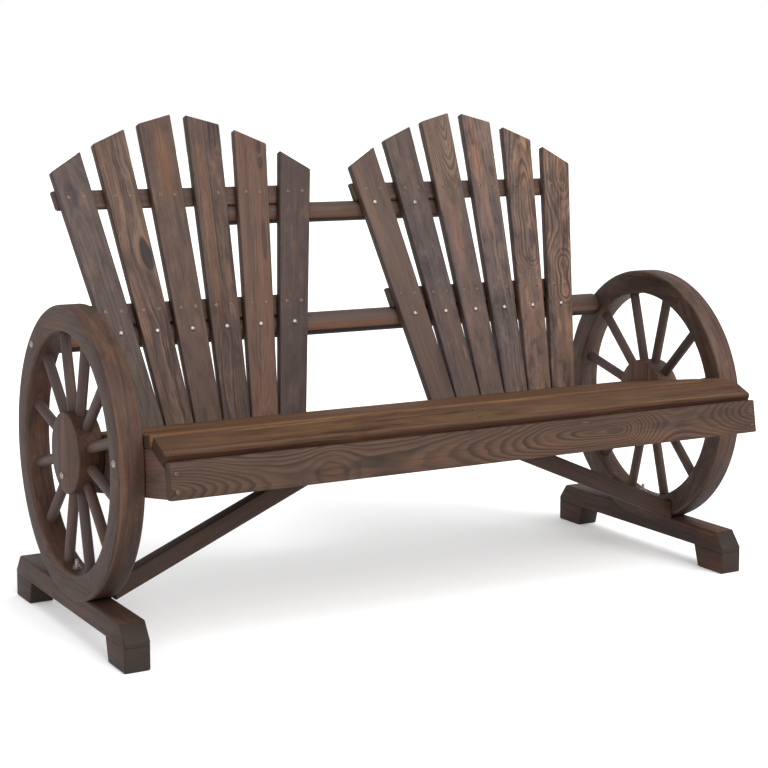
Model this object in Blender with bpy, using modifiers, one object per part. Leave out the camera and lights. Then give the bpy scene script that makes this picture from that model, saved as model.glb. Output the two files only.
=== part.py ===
"""Two-seat garden bench: wagon-wheel sides, slatted seat and two fan-shaped slat backs.

Metres, +Z up, +X to the right as seen from the front, -Y to the front.
The origin is on the floor, in the middle of the bench's footprint.
"""
import math

import bmesh
import bpy
from mathutils import Matrix, Vector

BENCH = "wagon_wheel_bench"

# Fits
CLEAR = 0.0003              # gap left between pieces that touch
EDGE = 0.002                # eased edges of sawn boards

# Width over the feet and wheels
HALF_WIDTH = 0.700
STOCK = 0.050               # thickness of the feet and the wheels

# Feet, each a beam on two blocks
FOOT_FRONT = 0.287          # from the wheel's centre to the front end
FOOT_REAR = 0.309           # from the wheel's centre to the rear end
BLOCK_HEIGHT = 0.0447
BEAM_HEIGHT = 0.042
BLOCK_LENGTH = 0.080
BLOCK_FLARE = 0.013         # how much longer a block is at its top
CHAMFER_HEIGHT = 0.032
CHAMFER_SETBACK = 0.0245

# Wheels
WHEEL_RADIUS = 0.2788
WHEEL_SINK = 0.0192         # depth of the cradle in the beam
RIM_WIDTH = 0.0503
RIM_ROUND = 0.006
HUB_RADIUS = 0.078
HUB_EDGE = 0.003
SPOKE_DIAMETER = 0.0205
SPOKE_COUNT = 12
SPOKE_SEAT = 0.014          # depth of the sockets in rim and hub
RIM_STEPS = 60              # spokes meet the middle of a facet of rim and hub
HUB_STEPS = 36
ROUND_STEPS = 32
SPOKE_STEPS = 16
CORNER_STEPS = 2

# Seat
SEAT_HEIGHT = 0.400         # underside of the seat boards at their front edge
SEAT_FRONT = -0.300         # that edge, from the wheels' centre line
SEAT_TILT = math.radians(8.8)
SEAT_BOARDS = 4
SEAT_BOARD_GAP = 0.006
SEAT_BOARD_THICK = 0.024
SEAT_END_GAP = 0.0005       # from the boards' ends to the wheels
SEAT_BACK_GAP = 0.012       # from the last board to the slats
NOSE_TILT = math.radians(32)
NOSE_WIDTH = 0.0587
NOSE_GAP = 0.003            # from the nose board to the first flat board
APRON_THICK = 0.018
APRON_HEIGHT = 0.066
APRON_DROP = 0.0225         # top of the apron below the boards' underside
JOIST_HEIGHT = 0.087
JOIST_THICK = 0.036
JOIST_LIP = 0.012           # left behind the slot for the rear rail

# Fan backs
FAN_OUTWARD = 0.0134        # middle of each fan, outwards from the middle of its half of the seat
FAN_RECLINE = math.radians(19.2)
FAN_LEVEL = 0.500           # height at which the next value holds
FAN_Y = 0.1265              # front face of the slats, from the wheels' centre line
FAN_STEP = math.radians(4.1)
FAN_APEX = 1.015            # where the slats' axes would meet, below FAN_LEVEL
SLATS = 6
SLAT_THICK = 0.018
SLAT_WIDTH_TOP = 0.075
SLAT_FOOT_GAP = 0.0008      # between neighbouring slats at their feet
CROWN = 0.5068              # point of the arch above FAN_LEVEL, along the slats
ARCH_RADIUS = 0.760
ARCH_OFFSET = 0.150         # each arc's centre lies past the middle by this much
ARCH_SHIFT = -0.004         # the arch's point, from the middle of the fan
BATTEN_THICK = 0.014
BATTEN_OVERHANG = 0.005     # past the outer slats
BATTEN_COVE = 0.0045        # how far the battens reach down over the round rails
UPPER_BATTEN_HEIGHT = 0.0405
LOWER_BATTEN_HEIGHT = 0.0445

# Rails
UPPER_RAIL_LEVEL = 0.2939   # along the slats, above FAN_LEVEL
UPPER_RAIL_RADIUS = 0.0215
UPPER_RAIL_LAP = 0.012      # past the middle of the third slat
LOWER_RAIL_LEVEL = 0.0503
LOWER_RAIL_RADIUS = 0.0243
REAR_RAIL_THICK = 0.024
REAR_RAIL_HEIGHT = 0.050
REAR_RAIL_RISE = 0.016      # above the joists
REAR_RAIL_LAP = 0.024       # how far the slats reach down on it

# Braces
BRACE_HEIGHT = 0.0356
BRACE_THICK = 0.030
BRACE_Y = -0.1034           # middle of the braces, from the wheels' centre line
BRACE_FOOT_DROP = 0.0021    # lowest corner below the foot's top
BRACE_HEAD_LAP = 0.012      # bearing on the middle joist, below the boards

# Cutters reach this far past what they cut
OVERCUT = 0.010

# Stained fir, as linear colours, with one roughness
SLAT_COLOUR = (0.135, 0.092, 0.070)
FRAME_COLOUR = (0.098, 0.071, 0.056)
SEAT_COLOUR = (0.150, 0.082, 0.042)
WHEEL_COLOUR = (0.115, 0.082, 0.065)
WOOD_ROUGHNESS = 0.62

# Derived sizes
FOOT_TOP = BLOCK_HEIGHT + BEAM_HEIGHT
AXLE_HEIGHT = FOOT_TOP - WHEEL_SINK + WHEEL_RADIUS
INNER_FACE = HALF_WIDTH - STOCK
WHEEL_X = HALF_WIDTH - STOCK / 2
FAN_CENTRE = INNER_FACE / 2 + FAN_OUTWARD
RIM_INNER = WHEEL_RADIUS - RIM_WIDTH
BOARD_LENGTH = 2 * (INNER_FACE - SEAT_END_GAP)
SLAT_BACK = SLAT_THICK + CLEAR

SIDE_PLANE = (math.pi / 2, 0.0, math.pi / 2)   # outline in Y and Z, thickness along X
FRONT_PLANE = (math.pi / 2, 0.0, 0.0)          # outline in X and Z, thickness along Y
WHEEL_PLANE = (0.0, math.pi / 2, 0.0)          # turned about the X axis


def seat_to_side(along, above):
    """A point of the seat's own plane as Y and Z, seen from the side."""
    y = SEAT_FRONT + along * math.cos(SEAT_TILT) + above * math.sin(SEAT_TILT)
    z = SEAT_HEIGHT - along * math.sin(SEAT_TILT) + above * math.cos(SEAT_TILT)
    return y, z


def side_to_seat(y, z):
    """The reverse of seat_to_side."""
    dy = y - SEAT_FRONT
    dz = z - SEAT_HEIGHT
    along = dy * math.cos(SEAT_TILT) - dz * math.sin(SEAT_TILT)
    above = dy * math.sin(SEAT_TILT) + dz * math.cos(SEAT_TILT)
    return along, above


def fan_to_side(level, behind):
    """A height along the slats and a depth behind their front face, as Y and Z."""
    y = FAN_Y + level * math.sin(FAN_RECLINE) + behind * math.cos(FAN_RECLINE)
    z = FAN_LEVEL + level * math.cos(FAN_RECLINE) - behind * math.sin(FAN_RECLINE)
    return y, z


def fan_level_at_seat(behind):
    """Where the slats' plane, at a depth behind their face, meets the joists' top."""
    start = side_to_seat(*fan_to_side(0.0, behind))[1]
    rise = side_to_seat(*fan_to_side(1.0, behind))[1] - start
    return -start / rise


def batten_foot(rail_level, rail_radius):
    """Lower edge of a batten that is coved over a round rail behind the slats."""
    depth = rail_radius - BATTEN_THICK
    back_edge = math.sqrt((rail_radius + CLEAR) ** 2 - depth ** 2)
    return rail_level + back_edge - BATTEN_COVE


REAR_RAIL_TOP = fan_level_at_seat(SLAT_BACK) + REAR_RAIL_RISE
SLAT_FOOT = REAR_RAIL_TOP - REAR_RAIL_LAP
SLAT_WIDTH_FOOT = 2 * (FAN_APEX + SLAT_FOOT) * math.tan(FAN_STEP / 2) - SLAT_FOOT_GAP
SEAT_DEPTH = side_to_seat(*fan_to_side(fan_level_at_seat(0.0), 0.0))[0] - SEAT_BACK_GAP
SEAT_BOARD_WIDTH = (SEAT_DEPTH - (SEAT_BOARDS - 1) * SEAT_BOARD_GAP) / SEAT_BOARDS

# The apron's back face stands just in front of the nose board's front face
NOSE_FACE_TOP = -NOSE_GAP - NOSE_WIDTH * math.cos(NOSE_TILT)
APRON_BACK = NOSE_FACE_TOP - CLEAR + (
    -APRON_DROP + NOSE_WIDTH * math.sin(NOSE_TILT)) * -math.tan(NOSE_TILT)
APRON_FACE = APRON_BACK - APRON_THICK

# The footprint's middle, which becomes the origin
FRONT_END = min(-FOOT_FRONT, seat_to_side(APRON_FACE, -APRON_DROP - APRON_HEIGHT)[0])
MIDDLE_Y = (FRONT_END + FOOT_REAR) / 2


def clear_scene():
    for old in list(bpy.data.objects):
        bpy.data.objects.remove(old, do_unlink=True)


def new_collection(name):
    made = bpy.data.collections.new(name)
    bpy.context.scene.collection.children.link(made)
    return made


def wood(name, colour):
    made = bpy.data.materials.new(name)
    made.use_nodes = True
    shader = made.node_tree.nodes["Principled BSDF"]
    shader.inputs["Base Color"].default_value = (*colour, 1.0)
    shader.inputs["Roughness"].default_value = WOOD_ROUGHNESS
    shader.inputs["Metallic"].default_value = 0.0
    return made


def empty(name, parent=None, location=(0, 0, 0), rotation=(0, 0, 0)):
    made = bpy.data.objects.new(name, None)
    PARTS.objects.link(made)
    made.parent = parent
    made.location = location
    made.rotation_euler = rotation
    return made


def box_mesh(name, low, high):
    mesh = bpy.data.meshes.new(name)
    bm = bmesh.new()
    bmesh.ops.create_cube(bm, size=1.0)
    low, high = Vector(low), Vector(high)
    place = Matrix.Translation((low + high) / 2) @ Matrix.Diagonal((high - low).to_4d())
    bm.transform(place)
    bm.to_mesh(mesh)
    bm.free()
    return mesh


def add_cylinder(bm, radius, start, end, steps, turn=Matrix()):
    """A closed cylinder from start to end along Z, then turned."""
    place = turn @ Matrix.Translation((0, 0, (start + end) / 2))
    bmesh.ops.create_cone(bm, cap_ends=True, segments=steps, radius1=radius,
                          radius2=radius, depth=end - start, matrix=place)


def cylinder_mesh(name, radius, start, end, steps, turn=Matrix()):
    mesh = bpy.data.meshes.new(name)
    bm = bmesh.new()
    add_cylinder(bm, radius, start, end, steps, turn)
    bm.to_mesh(mesh)
    bm.free()
    mesh.shade_smooth()
    mesh.set_sharp_from_angle(angle=math.radians(40))
    return mesh


def prism_mesh(name, outline, thickness):
    """A flat outline in X and Y, filled and extruded evenly to both sides."""
    curve = bpy.data.curves.new(name, "CURVE")
    curve.dimensions = "2D"
    curve.fill_mode = "BOTH"
    curve.extrude = thickness / 2
    spline = curve.splines.new("POLY")
    spline.points.add(len(outline) - 1)
    for point, (x, y) in zip(spline.points, outline):
        point.co = (x, y, 0.0, 1.0)
    spline.use_cyclic_u = True
    guide = bpy.data.objects.new(name + "_outline", curve)
    CUTTERS.objects.link(guide)
    depsgraph = bpy.context.evaluated_depsgraph_get()
    mesh = bpy.data.meshes.new_from_object(guide.evaluated_get(depsgraph))
    bpy.data.objects.remove(guide, do_unlink=True)
    bm = bmesh.new()
    bm.from_mesh(mesh)
    bmesh.ops.remove_doubles(bm, verts=bm.verts, dist=0.00001)
    bmesh.ops.dissolve_limit(bm, angle_limit=0.001, verts=bm.verts, edges=bm.edges)
    bmesh.ops.recalc_face_normals(bm, faces=bm.faces)
    bm.to_mesh(mesh)
    bm.free()
    return mesh


def part(name, mesh, colour, parent, location=(0, 0, 0), rotation=(0, 0, 0), ease=0.0):
    """One sub-part: an object in the bench's collection with its own wood."""
    mesh.name = name
    made = bpy.data.objects.new(name, mesh)
    PARTS.objects.link(made)
    made.parent = parent
    made.location = location
    made.rotation_euler = rotation
    mesh.materials.clear()
    mesh.materials.append(wood(name + "_wood", colour))
    if ease:
        bevel = made.modifiers.new("eased_edges", "BEVEL")
        bevel.width = ease
        bevel.segments = 1
        bevel.limit_method = "ANGLE"
        bevel.angle_limit = math.radians(40)
    return made


def cutter(name, mesh, parent, location=(0, 0, 0), rotation=(0, 0, 0)):
    made = bpy.data.objects.new(name, mesh)
    CUTTERS.objects.link(made)
    made.parent = parent
    made.location = location
    made.rotation_euler = rotation
    made.hide_render = True
    made.display_type = "WIRE"
    return made


def cut(target, tool):
    boolean = target.modifiers.new(tool.name, "BOOLEAN")
    boolean.operation = "DIFFERENCE"
    boolean.solver = "EXACT"
    boolean.object = tool


def rounded_profile(inner, outer, half, radius):
    """Section of the rim as radius and offset: down its outer side, up its inner side."""
    corners = (
        (outer - radius, half - radius, math.pi / 2),
        (outer - radius, -half + radius, 0.0),
        (inner + radius, -half + radius, -math.pi / 2),
        (inner + radius, half - radius, -math.pi),
    )
    points = []
    for r, z, start in corners:
        for i in range(CORNER_STEPS + 1):
            angle = start - i * math.pi / 2 / CORNER_STEPS
            points.append((r + radius * math.cos(angle), z + radius * math.sin(angle)))
    return points


def rim(name, parent):
    """A turned ring, made from its section with a Screw modifier."""
    points = rounded_profile(RIM_INNER, WHEEL_RADIUS, STOCK / 2, RIM_ROUND)
    mesh = bpy.data.meshes.new(name)
    bm = bmesh.new()
    section = [bm.verts.new((r, 0.0, z)) for r, z in points]
    for i, vert in enumerate(section):
        bm.edges.new((vert, section[(i + 1) % len(section)]))
    bm.to_mesh(mesh)
    bm.free()
    made = part(name, mesh, WHEEL_COLOUR, parent)
    screw = made.modifiers.new("turned", "SCREW")
    screw.axis = "Z"
    screw.angle = 2 * math.pi
    screw.steps = RIM_STEPS
    screw.render_steps = RIM_STEPS
    screw.use_merge_vertices = True
    screw.merge_threshold = 0.00001
    return made


def wheel(side, sign, root):
    """Rim, hub and spokes, with a socket at both ends of each spoke."""
    centre = empty(side + "_wheel", root, (sign * WHEEL_X, 0, AXLE_HEIGHT), WHEEL_PLANE)
    ring = rim(side + "_wheel_rim", centre)
    hub_disc = cylinder_mesh("hub", HUB_RADIUS, -STOCK / 2, STOCK / 2, HUB_STEPS)
    hub = part(side + "_wheel_hub", hub_disc, WHEEL_COLOUR, centre, ease=HUB_EDGE)
    low = HUB_RADIUS - SPOKE_SEAT
    high = RIM_INNER + SPOKE_SEAT
    radius = SPOKE_DIAMETER / 2
    sockets = bpy.data.meshes.new(side + "_spoke_sockets")
    bm = bmesh.new()
    lie_down = Matrix.Rotation(math.pi / 2, 4, "Y")
    for i in range(SPOKE_COUNT):
        angle = (i + 0.5) * 2 * math.pi / SPOKE_COUNT
        turn = Matrix.Rotation(angle, 4, "Z") @ lie_down
        add_cylinder(bm, radius + CLEAR, low, high, SPOKE_STEPS, turn)
        dowel = cylinder_mesh("spoke", radius, low + CLEAR, high - CLEAR, SPOKE_STEPS)
        name = "%s_wheel_spoke_%02d" % (side, i + 1)
        part(name, dowel, WHEEL_COLOUR, centre, rotation=turn.to_euler())
    bm.to_mesh(sockets)
    bm.free()
    tool = cutter(side + "_sockets", sockets, centre)
    cut(ring, tool)
    cut(hub, tool)


def foot(side, sign, root):
    """Beam and blocks in one outline, with a curved cradle for the wheel."""
    block_top = BLOCK_LENGTH + BLOCK_FLARE
    chamfer_foot = FOOT_TOP - CHAMFER_HEIGHT
    outline = [
        (-FOOT_FRONT, 0.0),
        (-FOOT_FRONT + BLOCK_LENGTH, 0.0),
        (-FOOT_FRONT + block_top, BLOCK_HEIGHT),
        (FOOT_REAR - block_top, BLOCK_HEIGHT),
        (FOOT_REAR - BLOCK_LENGTH, 0.0),
        (FOOT_REAR, 0.0),
        (FOOT_REAR, chamfer_foot),
        (FOOT_REAR - CHAMFER_SETBACK, FOOT_TOP),
        (-FOOT_FRONT + CHAMFER_SETBACK, FOOT_TOP),
        (-FOOT_FRONT, chamfer_foot),
    ]
    mesh = prism_mesh("foot", outline, STOCK)
    name = side + "_foot"
    beam = part(name, mesh, FRAME_COLOUR, root, (sign * WHEEL_X, 0, 0), SIDE_PLANE, EDGE)
    reach = STOCK / 2 + OVERCUT
    disc = cylinder_mesh("cradle", WHEEL_RADIUS + CLEAR, -reach, reach, RIM_STEPS)
    place = (sign * WHEEL_X, 0, AXLE_HEIGHT)
    cut(beam, cutter(side + "_cradle", disc, root, place, WHEEL_PLANE))


def arch_height(across):
    """Height of the pointed arch along the tops of the slats."""
    spring = CROWN - math.sqrt(ARCH_RADIUS ** 2 - ARCH_OFFSET ** 2)
    reach = abs(across - ARCH_SHIFT) + ARCH_OFFSET
    return spring + math.sqrt(ARCH_RADIUS ** 2 - reach ** 2)


def slat_half_width(distance):
    """Half of a slat's width at a distance from the fan's apex."""
    foot_at = FAN_APEX + SLAT_FOOT
    share = (distance - foot_at) / (FAN_APEX + CROWN - foot_at)
    return (SLAT_WIDTH_FOOT + share * (SLAT_WIDTH_TOP - SLAT_WIDTH_FOOT)) / 2


def slat_corner(lean, side, height_at):
    """Where a slat's edge meets a line given as height over place across."""
    distance = FAN_APEX
    for _ in range(30):
        half = side * slat_half_width(distance)
        across = half * math.cos(lean) + distance * math.sin(lean)
        missing = height_at(across) + FAN_APEX
        distance = (missing + half * math.sin(lean)) / math.cos(lean)
    return side * slat_half_width(distance), distance


def fan_edge(level):
    """Outer edge of the outermost slat at a height along the fan."""
    lean = (SLATS - 1) / 2 * FAN_STEP
    half, distance = slat_corner(lean, 1, lambda across: level)
    return half * math.cos(lean) + distance * math.sin(lean)


def batten(name, rail_level, rail_radius, height, plane):
    """A strip behind the slats, coved along its foot to sit over a round rail."""
    low = batten_foot(rail_level, rail_radius)
    high = low + height
    low_end = fan_edge(low) + BATTEN_OVERHANG
    high_end = fan_edge(high) + BATTEN_OVERHANG
    outline = [(-low_end, low), (low_end, low), (high_end, high), (-high_end, high)]
    mesh = prism_mesh("batten", outline, BATTEN_THICK)
    depth = -SLAT_BACK - BATTEN_THICK / 2
    strip = part(name, mesh, FRAME_COLOUR, plane, (0, 0, depth), ease=EDGE)
    reach = high_end + OVERCUT
    cove = cylinder_mesh("cove", rail_radius + CLEAR, -reach, reach, ROUND_STEPS)
    axis = (0, rail_level, -SLAT_BACK - rail_radius)
    cut(strip, cutter(name + "_cove", cove, plane, axis, WHEEL_PLANE))


def fan(side, sign, root):
    """Six tapered slats on two battens, all in one reclined plane."""
    place = (sign * FAN_CENTRE, FAN_Y, FAN_LEVEL)
    plane = empty(side + "_fan", root, place, (math.pi / 2 - FAN_RECLINE, 0, 0))
    for i in range(SLATS):
        lean = (i - (SLATS - 1) / 2) * FAN_STEP
        outline = [
            slat_corner(lean, -1, lambda across: SLAT_FOOT),
            slat_corner(lean, 1, lambda across: SLAT_FOOT),
            slat_corner(lean, 1, arch_height),
            slat_corner(lean, -1, arch_height),
        ]
        mesh = prism_mesh("slat", outline, SLAT_THICK)
        name = "%s_back_slat_%d" % (side, i + 1)
        apex = (0, -FAN_APEX, -SLAT_THICK / 2)
        part(name, mesh, SLAT_COLOUR, plane, apex, (0, 0, -lean), EDGE)
    batten(side + "_upper_batten", UPPER_RAIL_LEVEL, UPPER_RAIL_RADIUS,
           UPPER_BATTEN_HEIGHT, plane)
    batten(side + "_lower_batten", LOWER_RAIL_LEVEL, LOWER_RAIL_RADIUS,
           LOWER_BATTEN_HEIGHT, plane)


def round_rail(name, level, radius, half_length, root):
    y, z = fan_to_side(level, SLAT_BACK + radius)
    mesh = cylinder_mesh("rail", radius, -half_length, half_length, ROUND_STEPS)
    part(name, mesh, FRAME_COLOUR, root, (0, y, z), WHEEL_PLANE, EDGE)


def rails(root):
    """Upper rail between the fans, lower rail from wheel to wheel."""
    third_slat = FAN_CENTRE - (FAN_APEX + UPPER_RAIL_LEVEL) * math.tan(FAN_STEP / 2)
    reach = third_slat + UPPER_RAIL_LAP
    round_rail("upper_round_rail", UPPER_RAIL_LEVEL, UPPER_RAIL_RADIUS, reach, root)
    reach = INNER_FACE - CLEAR
    round_rail("lower_round_rail", LOWER_RAIL_LEVEL, LOWER_RAIL_RADIUS, reach, root)


def rear_rail_section(gap):
    """Front, back, low and high faces of the rear rail in the fans' plane."""
    front = -SLAT_BACK + gap
    back = -SLAT_BACK - REAR_RAIL_THICK - gap
    return front, back, REAR_RAIL_TOP - REAR_RAIL_HEIGHT - gap, REAR_RAIL_TOP + gap


def seat(root):
    """Joists, rear rail, apron, nose board and flat boards, all on the seat's tilt."""
    frame = empty("seat_frame", root, (0, SEAT_FRONT, SEAT_HEIGHT), (-SEAT_TILT, 0, 0))
    back = empty("back_plane", root, (0, FAN_Y, FAN_LEVEL),
                 (math.pi / 2 - FAN_RECLINE, 0, 0))
    half = BOARD_LENGTH / 2

    front, rear, low, high = rear_rail_section(0.0)
    mesh = box_mesh("rail", (-half, low, rear), (half, high, front))
    part("rear_seat_rail", mesh, FRAME_COLOUR, back, ease=EDGE)
    front, rear, low, high = rear_rail_section(CLEAR)
    reach = HALF_WIDTH + OVERCUT
    slot = box_mesh("slot", (-reach, low, rear), (reach, high + OVERCUT, front))
    slot = cutter("rear_rail_slot", slot, back)

    corners = [fan_to_side(level, -rear) for level in (low, high)]
    rear_end = max(side_to_seat(y, z)[0] for y, z in corners) + JOIST_LIP
    front_end = APRON_BACK + CLEAR
    nose_start = -NOSE_GAP
    nose_fall = (nose_start - front_end) * math.tan(NOSE_TILT)
    outline = [(front_end, -JOIST_HEIGHT), (rear_end, -JOIST_HEIGHT), (rear_end, 0.0),
               (nose_start, 0.0), (front_end, -nose_fall)]
    outer = INNER_FACE - CLEAR - JOIST_THICK / 2
    for name, x in (("left", -outer), ("middle", 0.0), ("right", outer)):
        mesh = prism_mesh("joist", outline, JOIST_THICK)
        joist = part(name + "_joist", mesh, FRAME_COLOUR, frame, (x, 0, 0), SIDE_PLANE, EDGE)
        cut(joist, slot)

    top = -APRON_DROP
    mesh = box_mesh("apron", (-half, APRON_FACE, top - APRON_HEIGHT), (half, APRON_BACK, top))
    part("front_apron", mesh, SLAT_COLOUR, frame, ease=EDGE)

    pivot = empty("nose_pivot", frame, (0, nose_start, 0), (NOSE_TILT, 0, 0))
    mesh = box_mesh("nose", (-half, -NOSE_WIDTH, CLEAR), (half, 0, CLEAR + SEAT_BOARD_THICK))
    part("seat_nose_board", mesh, SEAT_COLOUR, pivot, ease=EDGE)
    for i in range(SEAT_BOARDS):
        start = i * (SEAT_BOARD_WIDTH + SEAT_BOARD_GAP)
        end = start + SEAT_BOARD_WIDTH
        mesh = box_mesh("board", (-half, start, CLEAR), (half, end, CLEAR + SEAT_BOARD_THICK))
        part("seat_board_%d" % (i + 1), mesh, SEAT_COLOUR, frame, ease=EDGE)
    return frame


def braces(root, seat_frame):
    """From each foot up to the middle joist, with heads cut to the seat's underside."""
    start = INNER_FACE - CLEAR
    end = JOIST_THICK / 2 + CLEAR
    under_seat = seat_to_side((BRACE_Y - SEAT_FRONT) / math.cos(SEAT_TILT), 0.0)[1]
    low_foot = FOOT_TOP - BRACE_FOOT_DROP
    low_head = under_seat - BRACE_HEAD_LAP
    slope = math.atan2(low_head - low_foot, start - end)
    deep = BRACE_HEIGHT / math.cos(slope)
    reach = HALF_WIDTH + OVERCUT
    size = BRACE_HEIGHT + BRACE_THICK
    room = box_mesh("room", (-reach, -size, -CLEAR), (reach, SEAT_DEPTH + size, size))
    room = cutter("seat_underside", room, seat_frame)
    for side, sign in (("left", -1), ("right", 1)):
        outline = [(sign * start, low_foot), (sign * end, low_head),
                   (sign * end, low_head + deep), (sign * start, low_foot + deep)]
        mesh = prism_mesh("brace", outline, BRACE_THICK)
        name = side + "_brace"
        brace = part(name, mesh, FRAME_COLOUR, root, (0, BRACE_Y, 0), FRONT_PLANE, EDGE)
        cut(brace, room)


clear_scene()
PARTS = new_collection(BENCH)
CUTTERS = new_collection(BENCH + "_cutters")
bench = empty("bench", location=(0, -MIDDLE_Y, 0))
for side_name, side_sign in (("left", -1), ("right", 1)):
    foot(side_name, side_sign, bench)
    wheel(side_name, side_sign, bench)
    fan(side_name, side_sign, bench)
rails(bench)
braces(bench, seat(bench))
bpy.context.view_layer.update()
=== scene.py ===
"""Looks of the wagon-wheel garden bench: scorched and brushed fir, zinc bolts, small screws."""

import math

import bmesh
import bpy
from mathutils import Matrix, Vector


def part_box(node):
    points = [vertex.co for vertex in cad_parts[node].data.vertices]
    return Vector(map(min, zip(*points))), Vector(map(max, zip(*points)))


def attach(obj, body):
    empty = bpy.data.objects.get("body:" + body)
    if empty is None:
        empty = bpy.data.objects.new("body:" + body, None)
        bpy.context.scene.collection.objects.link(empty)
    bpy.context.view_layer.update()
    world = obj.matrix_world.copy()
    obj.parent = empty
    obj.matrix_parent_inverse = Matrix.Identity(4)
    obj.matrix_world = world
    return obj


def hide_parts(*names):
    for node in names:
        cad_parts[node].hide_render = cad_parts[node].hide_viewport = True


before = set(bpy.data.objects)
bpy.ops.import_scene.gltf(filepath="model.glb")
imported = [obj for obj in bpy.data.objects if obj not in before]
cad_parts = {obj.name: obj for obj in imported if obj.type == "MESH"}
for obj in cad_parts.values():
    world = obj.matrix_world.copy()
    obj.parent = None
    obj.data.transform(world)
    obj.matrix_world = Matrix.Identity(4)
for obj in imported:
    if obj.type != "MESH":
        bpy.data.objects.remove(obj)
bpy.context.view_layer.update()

# Places that the part's solids were built from, in metres
SHIFT_Y = 0.0399            # the wheels' centre line, from the origin
WHEEL_X = 0.675
WHEEL_HALF = 0.025
AXLE_HEIGHT = 0.3463
WHEEL_RADIUS = 0.2788
RIM_INNER = 0.2285
HUB_RADIUS = 0.078
SPOKE_RADIUS = 0.01025
SPOKES = 12
FELLOES = 6
BLOCK_TOP = 0.0447
FAN_CENTRE = 0.3384
FAN_RECLINE = math.radians(19.2)
FAN_LEVEL = 0.500
FAN_Y = 0.1265 + SHIFT_Y
FAN_APEX = 1.015
FAN_STEP = math.radians(4.1)
SLATS = 6
SLAT_THICK = 0.018
SEAT_FRONT = -0.300 + SHIFT_Y
SEAT_HEIGHT = 0.400
SEAT_TILT = math.radians(8.8)
NOSE_TILT = math.radians(32)
NOSE_WIDTH = 0.0587
NOSE_THICK = 0.024

UPPER_SCREWS = 0.331        # along the fan, above FAN_LEVEL
LOWER_SCREWS = 0.093
RAIL_BOLTS = 0.0485
SCREW_SPREAD = 0.0165

BODY = "root"


def srgb(red, green, blue):
    """An 8-bit screen colour as a linear one."""
    linear = []
    for level in (red, green, blue):
        c = level / 255
        linear.append(c / 12.92 if c <= 0.04045 else ((c + 0.055) / 1.055) ** 2.4)
    return (*linear, 1.0)


# Materials

class Graph:
    """Short names for making and joining shader nodes."""

    def __init__(self, material):
        material.use_nodes = True
        self.tree = material.node_tree
        self.shader = self.tree.nodes["Principled BSDF"]

    def put(self, socket, value):
        if isinstance(value, bpy.types.NodeSocket):
            self.tree.links.new(value, socket)
        else:
            socket.default_value = value

    def node(self, kind, inputs, out=0, **settings):
        made = self.tree.nodes.new(kind)
        for key, value in settings.items():
            setattr(made, key, value)
        for key, value in inputs.items():
            self.put(made.inputs[key], value)
        return made.outputs[out]

    def math(self, operation, *values):
        inputs = dict(enumerate(values))
        return self.node("ShaderNodeMath", inputs, operation=operation)

    def add(self, a, b):
        return self.math("ADD", a, b)

    def mul(self, a, b):
        return self.math("MULTIPLY", a, b)

    def step(self, value, low, high, start=0.0, end=1.0):
        """A smooth step from start to end as value goes from low to high."""
        inputs = {0: value, 1: low, 2: high, 3: start, 4: end}
        return self.node("ShaderNodeMapRange", inputs, interpolation_type="SMOOTHSTEP")

    def vector(self, x, y, z):
        return self.node("ShaderNodeCombineXYZ", {0: x, 1: y, 2: z})

    def noise(self, place, detail=2.0, roughness=0.5):
        inputs = {"Vector": place, "Scale": 1.0, "Detail": detail, "Roughness": roughness}
        return self.node("ShaderNodeTexNoise", inputs)

    def blend(self, share, a, b):
        made = self.tree.nodes.new("ShaderNodeMix")
        made.data_type = "RGBA"
        self.put(made.inputs[0], share)
        self.put(made.inputs[6], a)
        self.put(made.inputs[7], b)
        return made.outputs[2]

    def attribute(self, name):
        made = self.tree.nodes.new("ShaderNodeAttribute")
        made.attribute_name = name
        split = self.tree.nodes.new("ShaderNodeSeparateXYZ")
        self.tree.links.new(made.outputs["Vector"], split.inputs[0])
        return split.outputs


# How much light each stain gives back, fitted to the photograph
TINT = {
    "left_back_slat_1": (0.480, 0.474, 0.514),
    "left_back_slat_2": (0.507, 0.459, 0.458),
    "left_back_slat_3": (0.482, 0.401, 0.366),
    "left_back_slat_4": (0.508, 0.400, 0.343),
    "left_back_slat_5": (0.497, 0.436, 0.412),
    "left_back_slat_6": (0.424, 0.329, 0.297),
    "right_back_slat_1": (0.475, 0.407, 0.386),
    "right_back_slat_2": (0.477, 0.430, 0.442),
    "right_back_slat_3": (0.571, 0.506, 0.516),
    "right_back_slat_4": (0.589, 0.545, 0.566),
    "right_back_slat_5": (0.667, 0.607, 0.616),
    "right_back_slat_6": (0.564, 0.504, 0.544),
    "batten": (0.649, 0.560, 0.522),
    "nose": (0.415, 0.412, 0.536),
    "seat": (0.548, 0.503, 0.600),
    "apron": (0.408, 0.318, 0.250),
    "frame": (0.613, 0.495, 0.464),
    "brace": (0.688, 0.572, 0.502),
    "foot": (0.396, 0.285, 0.246),
    "left_wheel": (0.373, 0.287, 0.254),
    "right_wheel": (0.457, 0.393, 0.388),
    "left_wheel_hub": (0.360, 0.235, 0.155),
    # The right hub's stain is lighter than the left hub's: painted light on its inner face, which lies in
    # shade behind the seat and the fans.
    "right_wheel_hub": (0.780, 0.630, 0.550),
    "spoke": (0.674, 0.663, 0.731),
    "rail": (0.635, 0.573, 0.527),
}
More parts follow.
